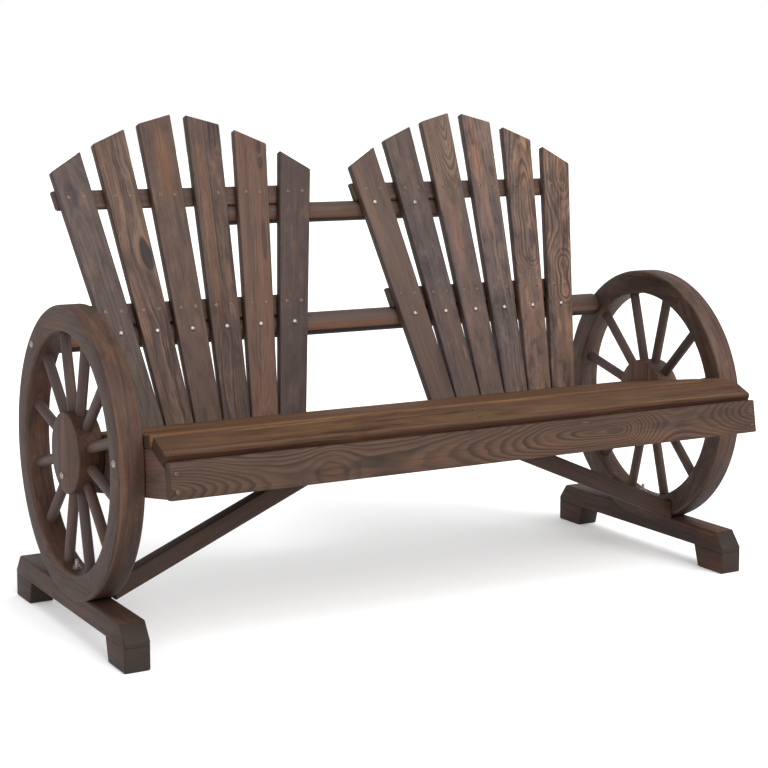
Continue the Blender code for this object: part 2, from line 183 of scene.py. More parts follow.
WOOD = dict(
    base=(101, 86, 77), warm=(118, 92, 75), pale=(146, 120, 98), dark=(52, 41, 36),
    bias=0.0, tone_along=1.6, tone_across=16.0, tone_gain=1.0,
    pale_share=0.25, dark_share=0.45, lines=0.3, pale_lines=0.0, fibre=0.26, wander=0.012, sway=3.5,
    ring=0.0, ring_gap=0.006, wobble=0.9, ring_zone=None, pith=0.0, lean=0.0, far=0.06, eyes=(),
    knots=(), zones=(), patches=(), end=(64, 60, 56), end_share=0.75,
    edge=(64, 52, 46), edge_share=0.35, side_share=0.0, blotch=0.4, mottle=0.0, bands=(),
    rough=0.62, gloss=0.22, seed=0.0,
)


def wood(name, **changes):
    """Scorched softwood whose grain follows the piece's own along, across and depth."""
    w = {**WOOD, **changes}
    material = bpy.data.materials.new(name)
    g = Graph(material)
    along, across, depth = g.attribute("grain")
    edge, end, side = g.attribute("trim")
    moved = g.add(along, w["seed"])

    def stain(colour):
        levels = srgb(*colour)
        return (*(c * t for c, t in zip(levels, TINT[name])), 1.0)

    # The grain sways along the board and runs round knots
    sway = g.noise(g.vector(g.mul(moved, w["sway"]), g.mul(across, 9.0), g.mul(depth, 9.0)), 3.0, 0.55)
    sway = g.math("SUBTRACT", sway, 0.5)
    bent = g.add(across, g.mul(sway, w["wander"]))
    knot_mask = None
    for knot_along, knot_across, long, wide, strength in w["knots"]:
        du = g.math("DIVIDE", g.math("SUBTRACT", along, knot_along), long)
        off = g.math("SUBTRACT", bent, knot_across)
        dv = g.math("DIVIDE", off, wide)
        away = g.add(g.mul(du, du), g.mul(dv, dv))
        hump = g.math("EXPONENT", g.mul(away, -0.4))
        bent = g.math("SUBTRACT", bent, g.mul(g.mul(off, hump), 0.8))
        spot = g.mul(g.step(g.add(away, g.mul(sway, 1.6)), 1.15, 0.6), strength)
        knot_mask = spot if knot_mask is None else g.math("MAXIMUM", knot_mask, spot)

    def stretched(lengthwise, crosswise, detail=2.0, roughness=0.5):
        place = g.vector(g.mul(moved, lengthwise), g.mul(bent, crosswise),
                         g.mul(depth, crosswise))
        return g.noise(place, detail, roughness)

    tone = stretched(w["tone_along"], w["tone_across"])
    streak = stretched(2.2, 60.0, 5.0, 0.62)
    vein = stretched(1.3, 38.0, 3.0, 0.5)
    fibre = stretched(10.0, 420.0, 2.0, 0.6)

    # Year rings round a pith that lies behind the board and comes forward at the eyes
    near = g.add(depth, w["far"])
    for eye_along, before, after, share in w["eyes"]:
        off = g.math("SUBTRACT", along, eye_along)
        low = g.math("DIVIDE", g.math("MINIMUM", off, 0.0), before)
        high = g.math("DIVIDE", g.math("MAXIMUM", off, 0.0), after)
        hump = g.math("EXPONENT", g.mul(g.add(g.mul(low, low), g.mul(high, high)), -1.0))
        near = g.math("SUBTRACT", near, g.mul(hump, w["far"] * share))
    beside = g.math("SUBTRACT", bent, g.add(g.mul(along, w["lean"]), w["pith"]))
    radius = g.math("SQRT", g.add(g.mul(beside, beside), g.mul(near, near)))
    wobble = stretched(9.0, 45.0)
    phase = g.add(g.math("DIVIDE", radius, w["ring_gap"]),
                  g.add(g.mul(tone, 1.2), g.mul(wobble, w["wobble"])))
    saw = g.math("FRACT", phase)
    late = g.mul(g.step(saw, 0.20, 0.80), g.step(saw, 1.0, 0.85))
    year = g.node("ShaderNodeTexWhiteNoise", {"W": g.math("FLOOR", phase)}, noise_dimensions="1D")
    late = g.mul(late, g.add(g.mul(year, 0.65), 0.35))
    if w["ring_zone"]:
        late = g.mul(late, g.step(along, *w["ring_zone"]))

    # Colour
    tone_share = g.step(g.add(tone, w["bias"]), 0.5 - 0.22 / w["tone_gain"],
                        0.5 + 0.22 / w["tone_gain"])
    colour = g.blend(tone_share, stain(w["base"]), stain(w["warm"]))
    for low, high, tint, share in w["zones"]:
        bend = g.add(along, g.mul(g.math("SUBTRACT", streak, 0.5), 0.22))
        colour = g.blend(g.mul(g.step(bend, low, high), share), colour, stain(tint))
    # Patches: mostly the wood's own tones; the nose's edge lines and the feet's top band are painted
    # highlights, and the nose's front band is partly painted shade.
    for patch_along, patch_across, long, wide, tint, share in w["patches"]:
        du = g.math("DIVIDE", g.math("SUBTRACT", along, patch_along), long)
        dv = g.math("DIVIDE", g.math("SUBTRACT", bent, patch_across), wide)
        away = g.add(g.add(g.mul(du, du), g.mul(dv, dv)), g.math("SUBTRACT", streak, 0.5))
        colour = g.blend(g.mul(g.step(away, 1.2, 0.1), share), colour, stain(tint))
    cloud = stretched(6.0, 26.0, 4.0, 0.6)
    colour = g.blend(g.mul(g.step(cloud, 0.48, 0.28), w["blotch"]), colour, stain(w["dark"]))
    colour = g.blend(g.mul(g.step(cloud, 0.55, 0.75), w["blotch"]), colour, stain(w["pale"]))
    if w["mottle"]:
        fleck = stretched(22.0, 55.0, 3.0, 0.55)
        colour = g.blend(g.mul(g.step(fleck, 0.49, 0.32), w["mottle"]), colour, stain(w["dark"]))
        colour = g.blend(g.mul(g.step(fleck, 0.53, 0.72), w["mottle"]), colour, stain(w["pale"]))
    pale = g.mul(g.step(streak, 0.54, 0.74), w["pale_share"])
    colour = g.blend(pale, colour, stain(w["pale"]))
    shade = g.mul(g.step(streak, 0.47, 0.27), w["dark_share"])
    colour = g.blend(shade, colour, stain(w["dark"]))
    if w["ring"]:
        colour = g.blend(g.mul(late, w["ring"]), colour, stain(w["dark"]))
    thin = g.step(g.math("ABSOLUTE", g.math("SUBTRACT", vein, 0.5)), 0.026, 0.004)
    thin = g.mul(g.mul(thin, g.step(tone, 0.36, 0.56)), w["lines"])
    colour = g.blend(thin, colour, stain(w["dark"]))
    if w["pale_lines"]:
        thin = g.step(g.math("ABSOLUTE", g.math("SUBTRACT", vein, 0.56)), 0.024, 0.004)
        colour = g.blend(g.mul(thin, w["pale_lines"]), colour, stain(w["pale"]))
    hair = g.mul(g.step(fibre, 0.56, 0.30), w["fibre"])
    colour = g.blend(hair, colour, stain(w["dark"]))
    if knot_mask:
        colour = g.blend(knot_mask, colour, stain((50, 43, 41)))
    colour = g.blend(g.mul(end, w["end_share"]), colour, stain(w["end"]))
    # Bands by depth: on the rails they paint shade on top, a highlight across the middle and shade
    # underneath.
    for start, full, tint, share in w["bands"]:
        colour = g.blend(g.mul(g.step(depth, start, full), share), colour, stain(tint))
    # The trim's third channel: painted shade on the slats' side faces between the slats, and on the rims
    # their darker outer faces and painted shade on the tread.
    if w["side_share"]:
        colour = g.blend(g.mul(side, w["side_share"]), colour, stain(w["dark"]))
    # Edges: worn on most boards; the seat's paler edges are partly wear, partly a painted highlight.
    edge_wear_and_highlight = g.mul(g.mul(edge, g.step(streak, 0.35, 0.65)), w["edge_share"])
    colour = g.blend(edge_wear_and_highlight, colour, stain(w["edge"]))
    g.put(g.shader.inputs["Base Color"], colour)

    # Surface
    sheen = g.add(w["rough"], g.mul(g.math("SUBTRACT", streak, fibre), 0.22))
    g.put(g.shader.inputs["Roughness"], sheen)
    g.shader.inputs["Specular IOR Level"].default_value = w["gloss"]
    height = g.add(g.mul(fibre, 0.5), g.add(g.mul(streak, 0.5), g.mul(late, -0.35)))
    bump = g.node("ShaderNodeBump", {"Strength": 0.35, "Distance": 0.0008, "Height": height})
    g.put(g.shader.inputs["Normal"], bump)
    return material


def metal(name, colour, tarnish, rough, spots):
    """Plated steel with cloudy tarnish and fine scratches."""
    material = bpy.data.materials.new(name)
    g = Graph(material)
    place = g.node("ShaderNodeTexCoord", {}, out=3)
    cloud = g.noise(g.node("ShaderNodeVectorMath", {0: place, 3: 260.0}, operation="SCALE"), 3.0)
    fine = g.noise(g.node("ShaderNodeVectorMath", {0: place, 3: 1500.0}, operation="SCALE"), 2.0)
    share = g.mul(g.step(cloud, 0.42, 0.68), spots)
    g.put(g.shader.inputs["Base Color"], g.blend(share, srgb(*colour), srgb(*tarnish)))
    g.shader.inputs["Metallic"].default_value = 1.0
    g.put(g.shader.inputs["Roughness"], g.add(rough, g.mul(cloud, 0.25)))
    bump = g.node("ShaderNodeBump", {"Strength": 0.15, "Distance": 0.0002, "Height": fine})
    g.put(g.shader.inputs["Normal"], bump)
    return material


# Meshes

def layers(bm):
    grain = bm.loops.layers.float_vector.get("grain") or bm.loops.layers.float_vector.new("grain")
    trim = bm.loops.layers.float_vector.get("trim") or bm.loops.layers.float_vector.new("trim")
    return grain, trim


# Narrow faces are the rounded edges: worn on most boards, partly a painted highlight on the seat boards.
STRIP = 0.0026              # faces narrower than this count as worn edges


def paint(bm, faces, place, offset=0.0):
    """Gives faces their grain: along, across and depth in the frame that place stands for."""
    grain, trim = layers(bm)
    back = place.inverted()
    lengthwise = place.to_3x3() @ Vector((1, 0, 0))
    crosswise = place.to_3x3() @ Vector((0, 1, 0))
    for face in faces:
        face.normal_update()
        width = face.calc_area() / (face.calc_perimeter() / 2)
        edge = 1.0 if width < STRIP else 0.0
        end = 1.0 if abs(face.normal.dot(lengthwise)) > 0.7 else 0.0
        side = 1.0 if abs(face.normal.dot(crosswise)) > 0.7 else 0.0
        for loop in face.loops:
            along, across, depth = back @ loop.vert.co
            loop[grain] = (along + offset, across, depth)
            loop[trim] = (edge, end, side)


def soften(bm, edges, width, segments=2):
    """Rounds the given edges."""
    bmesh.ops.bevel(bm, geom=edges, offset=width, offset_type="OFFSET", segments=segments,
                    profile=0.5, affect="EDGES", clamp_overlap=True)
    bmesh.ops.dissolve_degenerate(bm, edges=bm.edges, dist=0.00001)


def sharp_edges(bm, angle=30.0):
    limit = math.radians(angle)
    return [e for e in bm.edges if len(e.link_faces) == 2 and e.calc_face_angle() > limit]


def cad_mesh(node):
    """A CAD node's shape with flat faces in one piece each."""
    bm = bmesh.new()
    bm.from_mesh(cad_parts[node].data)
    bmesh.ops.remove_doubles(bm, verts=bm.verts, dist=0.00002)
    bmesh.ops.dissolve_limit(bm, angle_limit=math.radians(0.8), verts=bm.verts, edges=bm.edges)
    return bm


def finish_piece(bm, name, material, nodes):
    """Turns a mesh into a piece that rides on the bench and stands for CAD nodes."""
    mesh = bpy.data.meshes.new(name)
    bmesh.ops.recalc_face_normals(bm, faces=bm.faces)
    bm.to_mesh(mesh)
    bm.free()
    mesh.shade_smooth()
    mesh.set_sharp_from_angle(angle=math.radians(38))
    mesh.materials.append(material)
    piece = bpy.data.objects.new(name, mesh)
    bpy.context.scene.collection.objects.link(piece)
    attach(piece, BODY)
    if nodes:
        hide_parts(*nodes)
    return piece


def board(node, name, place, material, rounding=0.0008):
    bm = cad_mesh(node)
    soften(bm, sharp_edges(bm), rounding)
    paint(bm, bm.faces, place)
    return finish_piece(bm, name, material, [node])


def axes(origin, along, across):
    """A frame from its origin and two of its directions."""
    x = Vector(along).normalized()
    y = Vector(across).normalized()
    z = x.cross(y)
    return Matrix.Translation(origin) @ Matrix((x, y, z)).transposed().to_4x4()


# Frames of the seat and the fans
SEAT_BACK = Vector((0, math.cos(SEAT_TILT), -math.sin(SEAT_TILT)))
SEAT_UP = Vector((0, math.sin(SEAT_TILT), math.cos(SEAT_TILT)))
SEAT_ORIGIN = Vector((0, SEAT_FRONT, SEAT_HEIGHT))
FAN_UP = Vector((0, math.sin(FAN_RECLINE), math.cos(FAN_RECLINE)))
FAN_FRONT = Vector((0, -math.cos(FAN_RECLINE), math.sin(FAN_RECLINE)))
RIGHT = Vector((1, 0, 0))
UP = Vector((0, 0, 1))
REAR = Vector((0, 1, 0))


def fan_point(sign, across, level, forward=0.0):
    origin = Vector((sign * FAN_CENTRE, FAN_Y, FAN_LEVEL))
    return origin + RIGHT * across + FAN_UP * level + FAN_FRONT * forward


def slat_lean(i):
    return (i - (SLATS - 1) / 2) * FAN_STEP


def slat_frame(sign, i):
    """Along the slat from the fan's level, across to the right, depth to the front."""
    lean = slat_lean(i)
    along = FAN_UP * math.cos(lean) + RIGHT * math.sin(lean)
    across = RIGHT * math.cos(lean) - FAN_UP * math.sin(lean)
    apex = fan_point(sign, 0.0, -FAN_APEX, -SLAT_THICK / 2)
    return axes(apex + along * FAN_APEX, along, across)


LEFT_LOOKS = (
    dict(seed=3.1, base=(99, 85, 77), warm=(106, 88, 77), dark_share=0.42, pale_share=0.24,
         mottle=0.42, blotch=0.15,
         lines=0.22, ring=0.25, ring_gap=0.008, eyes=((0.18, 0.2, 0.2, 1.0),), pith=-0.01,
         patches=((0.36, -0.010, 0.035, 0.016, (66, 60, 58), 0.75),)),
    dict(seed=7.7, base=(94, 78, 69), warm=(116, 91, 75), pale=(156, 129, 106), dark=(50, 41, 38),
         mottle=0.40, blotch=0.15,
         tone_across=40.0, pale_share=0.65, dark_share=0.85, lines=0.75, pale_lines=0.45, wander=0.034,
         sway=7.0, ring=0.35, ring_gap=0.0065, pith=0.012, eyes=((0.23, 0.3, 0.3, 1.0),),
         knots=((0.215, 0.020, 0.040, 0.013, 0.95),),
         patches=((0.30, -0.014, 0.10, 0.006, (146, 118, 96), 0.6),
                  (0.10, -0.020, 0.08, 0.007, (140, 104, 84), 0.6),
                  (0.224, 0.0165, 0.052, 0.0165, (150, 120, 94), 0.85))),
    dict(seed=11.4, base=(97, 84, 77), warm=(106, 89, 78), pale_share=0.28, dark_share=0.45,
         mottle=0.34, blotch=0.20, lines=0.2,
         patches=((0.40, 0.004, 0.12, 0.022, (126, 94, 72), 0.75),
                  (0.28, 0.010, 0.06, 0.020, (82, 76, 76), 0.5))),
    dict(seed=15.2, base=(90, 80, 77), warm=(96, 85, 80), dark_share=0.85, lines=0.85,
         mottle=0.50, blotch=0.20,
         pale_share=0.4, pale_lines=0.4, wander=0.022, sway=6.0, ring=0.6, ring_gap=0.007, pith=-0.010,
         eyes=((-0.17, 0.3, 0.3, 1.0),), ring_zone=(0.12, 0.02),
         patches=((0.24, -0.014, 0.26, 0.015, (118, 93, 77), 0.8),
                  (0.10, -0.010, 0.05, 0.010, (130, 98, 75), 0.6))),
    dict(seed=19.9, base=(110, 88, 76), warm=(126, 98, 81), pale_share=0.25, dark_share=0.42,
         mottle=0.15,
         lines=0.45, ring=0.25, ring_gap=0.005, far=0.10, eyes=((0.20, 0.5, 0.5, 1.0),),
         knots=((0.440, 0.018, 0.016, 0.006, 0.6), (0.405, 0.019, 0.014, 0.006, 0.6),
                (0.235, 0.020, 0.05, 0.006, 0.6)),
         patches=((0.20, 0.012, 0.14, 0.004, (138, 100, 72), 0.6),)),
    dict(seed=23.5, base=(87, 79, 77), warm=(92, 83, 79), pale_share=0.16, dark_share=0.35,
         mottle=0.34, blotch=0.15, lines=0.2),
)
RIGHT_LOOKS = (
    dict(seed=31.3, base=(104, 90, 82), warm=(111, 95, 85), pale_share=0.15, dark_share=0.22,
         lines=0.15),
    dict(seed=35.8, base=(96, 85, 79), warm=(108, 92, 81), dark_share=0.8, pale_share=0.42,
         mottle=0.42,
         patches=((0.20, 0.0, 0.15, 0.05, (84, 78, 76), 0.85),
                  (-0.04, 0.020, 0.022, 0.003, (160, 130, 104), 0.9))),
    dict(seed=39.1, base=(100, 87, 79), warm=(114, 94, 83), dark_share=0.65, pale_share=0.4, ring=0.7,
         mottle=0.42,
         ring_gap=0.0044, wobble=0.5, pith=0.014, eyes=((0.62, 0.26, 0.26, 1.0),),
         ring_zone=(0.30, 0.38), zones=((0.30, 0.40, (130, 112, 92), 0.75),),
         patches=((0.22, -0.006, 0.10, 0.012, (132, 102, 86), 0.7),
                  (0.15, 0.024, 0.20, 0.010, (84, 79, 80), 0.6),
                  (0.16, -0.030, 0.20, 0.008, (84, 78, 78), 0.6))),
    dict(seed=43.6, base=(96, 85, 80), warm=(112, 94, 83), tone_across=30.0, dark_share=0.8,
         mottle=0.60, blotch=0.30,
         pale_share=0.4, pale_lines=0.45, wander=0.022, sway=6.0, ring=0.25, eyes=((0.1, 0.4, 0.4, 1.0),),
         patches=((0.47, -0.028, 0.03, 0.012, (112, 84, 84), 0.8),
                  (0.42, -0.016, 0.11, 0.016, (138, 106, 84), 0.8),
                  (0.41, -0.018, 0.06, 0.006, (156, 110, 80), 0.8),
                  (0.38, -0.004, 0.05, 0.005, (150, 112, 88), 0.7),
                  (0.44, 0.022, 0.05, 0.014, (84, 82, 84), 0.6),
                  (0.28, -0.010, 0.09, 0.012, (132, 100, 86), 0.7),
                  (0.22, 0.016, 0.10, 0.010, (86, 82, 78), 0.5),
                  (0.02, -0.006, 0.12, 0.03, (92, 87, 85), 0.6))),
    dict(seed=47.0, base=(102, 86, 76), warm=(124, 98, 80), pale=(158, 126, 98), pale_share=0.65,
         mottle=0.60,
         dark_share=0.7, wander=0.026, sway=6.0, ring=0.85, ring_gap=0.0075, wobble=1.2, pith=0.008,
         eyes=((0.205, 0.07, 0.24, 1.0),), ring_zone=(0.11, 0.17),
         knots=((0.212, 0.012, 0.026, 0.006, 0.55),),
         patches=((0.33, -0.026, 0.16, 0.008, (96, 86, 84), 0.6),
                  (0.38, 0.002, 0.08, 0.02, (136, 106, 82), 0.6),
                  (0.455, 0.022, 0.035, 0.008, (150, 122, 86), 0.8),
                  (0.478, -0.020, 0.025, 0.010, (126, 92, 84), 0.7),
                  (0.466, 0.002, 0.022, 0.010, (70, 62, 58), 0.85))),
    dict(seed=51.9, base=(100, 84, 73), warm=(122, 98, 78), pale=(158, 128, 96), pale_share=0.7,
         mottle=0.75,
         dark_share=0.75, lines=0.5, pale_lines=0.45, wander=0.022, sway=6.0, ring=0.85,
         ring_gap=0.0080, wobble=0.7, pith=0.013,
         eyes=((0.43, 0.13, 0.13, 1.0), (0.13, 0.075, 0.075, 1.0)), ring_zone=(0.03, 0.09),
         patches=((0.36, -0.022, 0.12, 0.004, (160, 130, 98), 0.7),
                  (0.26, 0.010, 0.08, 0.008, (132, 96, 72), 0.7),
                  (0.425, 0.013, 0.110, 0.022, (150, 116, 86), 0.7),
                  (0.130, 0.013, 0.075, 0.019, (152, 124, 96), 0.7))),
)
for side, sign, looks in (("left", -1, LEFT_LOOKS), ("right", 1, RIGHT_LOOKS)):
    for i, look in enumerate(looks):
        name = "%s_back_slat_%d" % (side, i + 1)
        # side_share darkens the slats' side faces, which face into the gaps between the slats: painted
        # shade.
        slat_wood = wood(name, side_share=0.35, **look)
        board(name, name + "_fir", slat_frame(sign, i), slat_wood)

batten_wood = wood("batten", base=(84, 70, 62), warm=(92, 76, 66), seed=61.0)
for side, sign in (("left", -1), ("right", 1)):
    for level, height in (("upper", 0.33), ("lower", 0.09)):
        name = "%s_%s_batten" % (side, level)
        place = axes(fan_point(sign, 0.0, height, -0.025), RIGHT, FAN_UP)
        board(name, name + "_fir", place, batten_wood)

# Seat
SEAT = dict(base=(100, 74, 54), warm=(126, 96, 62), pale=(160, 124, 80), dark=(56, 36, 25),
            end=(70, 52, 40), gloss=0.06, rough=0.75)
# The nose's patches at 0.0310 and 0.0285 across, along its back edge, and at -0.0215 and -0.0222, behind
# its rounded front edge, are painted highlights; the dark red band at -0.0305 on its front face is partly
# the board's colour, partly painted shade.
nose_wood = wood("nose", **SEAT, edge=(80, 54, 38), seed=70.0, tone_across=30.0, tone_along=0.9,
                 pale_share=0.45, dark_share=0.45, lines=0.5, ring=0.15, pale_lines=0.2,
                 eyes=((0.2, 0.5, 0.5, 1.0),),
                 patches=((-0.40, 0.010, 0.20, 0.016, (142, 106, 62), 0.6),
                          (0.0, 0.0310, 5.0, 0.0030, (150, 112, 72), 0.2),
                          (-0.38, 0.0285, 0.15, 0.0045, (180, 138, 84), 0.6),
                          (0.0, -0.0305, 5.0, 0.0040, (92, 58, 40), 0.8),
                          (0.0, -0.0215, 5.0, 0.0032, (146, 112, 84), 0.45),
                          (0.50, -0.0222, 0.35, 0.0024, (164, 122, 82), 0.5)))
# The seat's pale edge colour is partly wear, partly a painted highlight along the board edges.
seat_wood = wood("seat", **SEAT, edge=(140, 106, 70), edge_share=0.3, seed=75.0, tone_across=24.0,
                 tone_along=0.8, bias=0.05, pale_share=0.45, lines=0.5, ring=0.2,
                 eyes=((0.1, 0.4, 0.4, 1.0), (2.9, 0.4, 0.4, 1.0), (8.0, 0.5, 0.5, 1.0)))


def nose_board(place):
    """The tilted front board: round along its front, eased along its back and at its ends."""
    low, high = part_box("seat_nose_board")
    outline = []
    for along, height, radius, start in ((0.0, 0.0, 0.0012, -90.0), (0.0, NOSE_THICK, 0.0012, 0.0),
                                         (-NOSE_WIDTH, NOSE_THICK, 0.0065, 90.0),
                                         (-NOSE_WIDTH, 0.0, 0.0040, 180.0)):
        centre_along = along + math.copysign(radius, -NOSE_WIDTH / 2 - along)
        centre_height = height + math.copysign(radius, NOSE_THICK / 2 - height)
        for i in range(7):
            angle = math.radians(start + 15.0 * i)
            outline.append((centre_along + radius * math.cos(angle),
                            centre_height + radius * math.sin(angle)))
    bm = bmesh.new()
    rings = []
    for x in (low.x, high.x):
        points = [nose_origin + RIGHT * x + nose_along * a + nose_up * h for a, h in outline]
        rings.append([bm.verts.new(p) for p in points])
    count = len(outline)
    for j in range(count):
        k = (j + 1) % count
        bm.faces.new((rings[0][j], rings[0][k], rings[1][k], rings[1][j]))
    caps = [bm.faces.new(ring) for ring in rings]
    bmesh.ops.recalc_face_normals(bm, faces=bm.faces)
    soften(bm, [e for cap in caps for e in cap.edges], 0.0011)
    paint(bm, bm.faces, place)
    return finish_piece(bm, "seat_nose_board_fir", nose_wood, ["seat_nose_board"])


nose_along = Vector((0, math.cos(NOSE_TILT - SEAT_TILT), math.sin(NOSE_TILT - SEAT_TILT)))
nose_up = RIGHT.cross(nose_along)
nose_origin = SEAT_ORIGIN - SEAT_BACK * 0.003
place = axes(nose_origin - nose_along * 0.029 + nose_up * 0.012, RIGHT, nose_along)
nose_board(place)
for i in range(4):
    name = "seat_board_%d" % (i + 1)
    middle = SEAT_ORIGIN + SEAT_BACK * (0.043 + i * 0.0925) + SEAT_UP * 0.012 + RIGHT * (i * 2.7)
    board(name, name + "_fir", axes(middle, RIGHT, SEAT_BACK), seat_wood)

apron_wood = wood("apron", seed=80.0, base=(101, 83, 72), warm=(116, 92, 78), dark=(50, 40, 35),
                  ring=0.9, ring_gap=0.0047, pith=-0.006, lean=0.030, wander=0.030, wobble=1.1,
                  eyes=((-0.74, 0.20, 0.20, 1.0), (-0.336, 0.05, 0.05, 0.20),
                        (0.288, 0.28, 0.09, 1.0), (0.74, 0.17, 0.17, 1.0)),
                  tone_across=20.0, tone_along=1.2, pale_share=0.3, dark_share=0.35, lines=0.2,
                  end=(84, 70, 61), end_share=0.4,
                  knots=((0.290, 0.002, 0.022, 0.006, 0.5),),
                  patches=((-0.262, -0.004, 0.045, 0.010, (64, 58, 56), 0.75),
                           (-0.334, -0.012, 0.040, 0.009, (76, 58, 50), 0.7),
                           (-0.334, -0.012, 0.026, 0.005, (124, 94, 76), 0.8),
                           (0.405, 0.004, 0.030, 0.008, (66, 56, 56), 0.6),
                           (0.455, -0.002, 0.020, 0.007, (68, 58, 60), 0.6),
                           (0.222, 0.0237, 0.010, 0.0020, (176, 138, 124), 0.9)))
place = axes(SEAT_ORIGIN - SEAT_BACK * 0.0765 - SEAT_UP * 0.0555, RIGHT, SEAT_UP)
board("front_apron", "front_apron_fir", place, apron_wood)

frame_wood = wood("frame", base=(96, 80, 71), warm=(104, 85, 73), seed=90.0, ring=0.25,
                  eyes=((0.0, 0.4, 0.4, 1.0),))
for name in ("left_joist", "middle_joist", "right_joist"):
    low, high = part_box(name)
    middle = SEAT_ORIGIN + SEAT_BACK * 0.18 - SEAT_UP * 0.045
    place = axes(Vector(((low.x + high.x) / 2, middle.y, middle.z)), SEAT_BACK, SEAT_UP)
    board(name, name + "_fir", place, frame_wood)
place = axes(fan_point(0, 0.0, -0.17, -0.030), RIGHT, FAN_UP)
board("rear_seat_rail", "rear_seat_rail_fir", place, frame_wood)

# The braces' stain is darker than the frame's: it paints the shade that falls under the seat.
brace_wood = wood("brace", base=(64, 51, 45), warm=(72, 56, 48), pale=(92, 72, 58),
                  dark=(36, 30, 28), edge=(40, 36, 33), seed=100.0, pale_share=0.2)
for side, sign in (("left", -1), ("right", 1)):
    slope = math.radians(23.4)
    along = Vector((-sign * math.cos(slope), 0, math.sin(slope)))
    place = axes(Vector((sign * 0.33, -0.1034 + SHIFT_Y, 0.24)), along, REAR)
    board(side + "_brace", side + "_brace_fir", place, brace_wood)

# Feet: the beam and its blocks meet in a glued seam
# The pale patch along the top of each foot's beam is painted light from above.
foot_wood = wood("foot", base=(82, 70, 63), warm=(104, 77, 62), seed=110.0, blotch=0.5,
                 end=(54, 54, 49), end_share=0.8, ring=0.4, lines=0.3, tone_along=3.0,
                 eyes=((0.0, 0.35, 0.35, 1.0),),
                 patches=((0.0, 0.0345, 50.0, 0.0040, (128, 100, 84), 0.6),))
SEAM = 0.0002


def in_cradle(point):
    """Whether a point lies on the hollow that the wheel sits in."""
    away = math.hypot(point.y - SHIFT_Y, point.z - AXLE_HEIGHT)
    return away < WHEEL_RADIUS + 0.0015


for side, sign in (("left", -1), ("right", 1)):
    name = side + "_foot"
    whole = bmesh.new()
    for keep_top in (True, False):
        bm = cad_mesh(name)
        level = BLOCK_TOP + (SEAM if keep_top else -SEAM)
        cut = bmesh.ops.bisect_plane(bm, geom=bm.verts[:] + bm.edges[:] + bm.faces[:],
                                     plane_co=(0, 0, level), plane_no=UP,
                                     clear_inner=keep_top, clear_outer=not keep_top)
        rim = [e for e in cut["geom_cut"] if isinstance(e, bmesh.types.BMEdge)]
        bmesh.ops.holes_fill(bm, edges=rim, sides=0)
        eased = [e for e in sharp_edges(bm) if not all(in_cradle(v.co) for v in e.verts)]
        soften(bm, eased, 0.0009)
        offset = 0.0 if keep_top else 1.9
        place = axes(Vector((sign * WHEEL_X, SHIFT_Y, 0.055)), REAR, UP)
        paint(bm, bm.faces, place, offset + sign * 3.0)
        part_mesh = bpy.data.meshes.new("foot_piece")
        bm.to_mesh(part_mesh)
        bm.free()
        whole.from_mesh(part_mesh)
        bpy.data.meshes.remove(part_mesh)
    finish_piece(whole, name + "_fir", foot_wood, [name])

# Wheels
# side_share carries the rims' darkening into the colour: darker outer faces and painted shade on the
# lower tread.
WHEEL = dict(base=(94, 80, 72), warm=(116, 88, 71), pale=(148, 122, 99), seed=120.0, mottle=0.4,
             tone_along=2.2, tone_across=18.0, pale_share=0.65, dark_share=0.65, lines=0.5,
             ring=0.3, ring_gap=0.008, blotch=0.6, edge=(134, 111, 92), edge_share=0.4,
             side_share=1.0)
HUB = dict(base=(94, 78, 68), warm=(112, 86, 70), seed=131.0, ring=0.4, ring_gap=0.007,
           pith=0.004, pale_share=0.35, lines=0.5)
spoke_wood = wood("spoke", base=(82, 70, 64), warm=(104, 81, 67), seed=140.0, tone_along=4.0,
                  tone_across=30.0, end_share=0.2)


def section(inner, outer, half, inside, outside, steps):
    """A rectangle as radius and offset along the axle, rounded inside and outside the wheel."""
    corners = ((outer, 1, outside, 90.0), (outer, -1, outside, 0.0),
               (inner, -1, -inside, -90.0), (inner, 1, -inside, -180.0))
    points = []
    for r, way, radius, start in corners:
        for i in range(steps + 1):
            angle = math.radians(start - 90.0 * i / steps)
            points.append((r - radius + abs(radius) * math.cos(angle),
                           way * (half - abs(radius)) + abs(radius) * math.sin(angle)))
    return points


def on_wheel(sign, radius, angle, offset):
    """A point of a wheel: angle from the rear upwards, offset along the axle."""
    return Vector((sign * WHEEL_X + offset, SHIFT_Y + radius * math.cos(angle),
                   AXLE_HEIGHT + radius * math.sin(angle)))


def spin(bm, sign, profile, start, end, steps):
    """Sweeps a closed profile, a function of the angle, round the axle and caps both ends."""
    rings = []
    for i in range(steps + 1):
        angle = start + (end - start) * i / steps
        rings.append([bm.verts.new(on_wheel(sign, r, angle, x)) for r, x in profile(angle)])
    count = len(rings[0])
    for a, b in zip(rings, rings[1:]):
        for j in range(count):
            k = (j + 1) % count
            bm.faces.new((a[j], a[k], b[k], b[j]))
    caps = [bm.faces.new(rings[0]), bm.faces.new(rings[-1])]
    return caps


def rim_profile(angle):
    """The rim's section, with sharper outer corners where the wheel sits in its foot."""
    low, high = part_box("left_foot")
    lowest = AXLE_HEIGHT + WHEEL_RADIUS * math.sin(angle)
    free = min(max((lowest - high.z + 0.004) / 0.012, 0.0), 1.0)
    return section(RIM_INNER, WHEEL_RADIUS, WHEEL_HALF, 0.006, 0.0005 + 0.0055 * free, 4)


